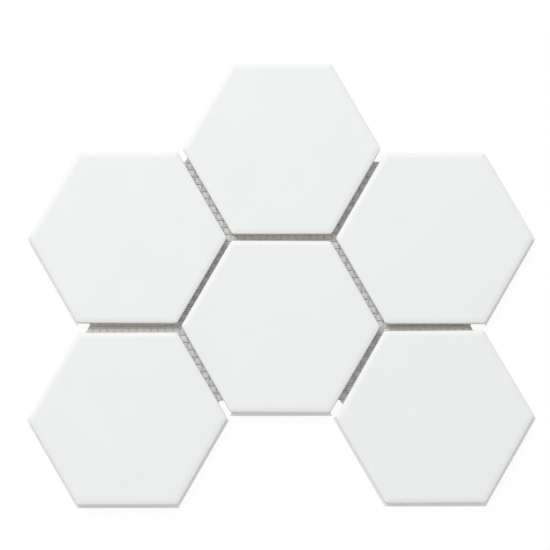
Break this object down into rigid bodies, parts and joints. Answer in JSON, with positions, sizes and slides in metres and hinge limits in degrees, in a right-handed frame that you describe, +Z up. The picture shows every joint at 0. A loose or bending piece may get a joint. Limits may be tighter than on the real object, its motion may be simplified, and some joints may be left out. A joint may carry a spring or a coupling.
{
  "type": "hexagon mosaic tile sheet",
  "caption": "Sheet of matt white hexagon floor tiles held at an even joint by a glass-fibre net stuck to their backs.",
  "frame": {"origin": "middle of the laying grid's rectangle, on the underside of the net", "axes": "+Z up out of the wearing face, +Y along the columns of tiles towards the end where the middle column stands out, +X across the columns"},
  "size_m": [0.2785, 0.2444, 0.0065],
  "materials": {
    "matt_glazed_porcelain": "matte",
    "glass_fibre_net": "matte"
  },
  "bodies": {
    "root": {"tile_top": "matt_glazed_porcelain", "tile_centre": "matt_glazed_porcelain", "tile_upper_left": "matt_glazed_porcelain", "tile_lower_left": "matt_glazed_porcelain", "tile_upper_right": "matt_glazed_porcelain", "tile_lower_right": "matt_glazed_porcelain", "net_warp": "glass_fibre_net", "net_weft": "glass_fibre_net"}
  },
  "joints": []
}
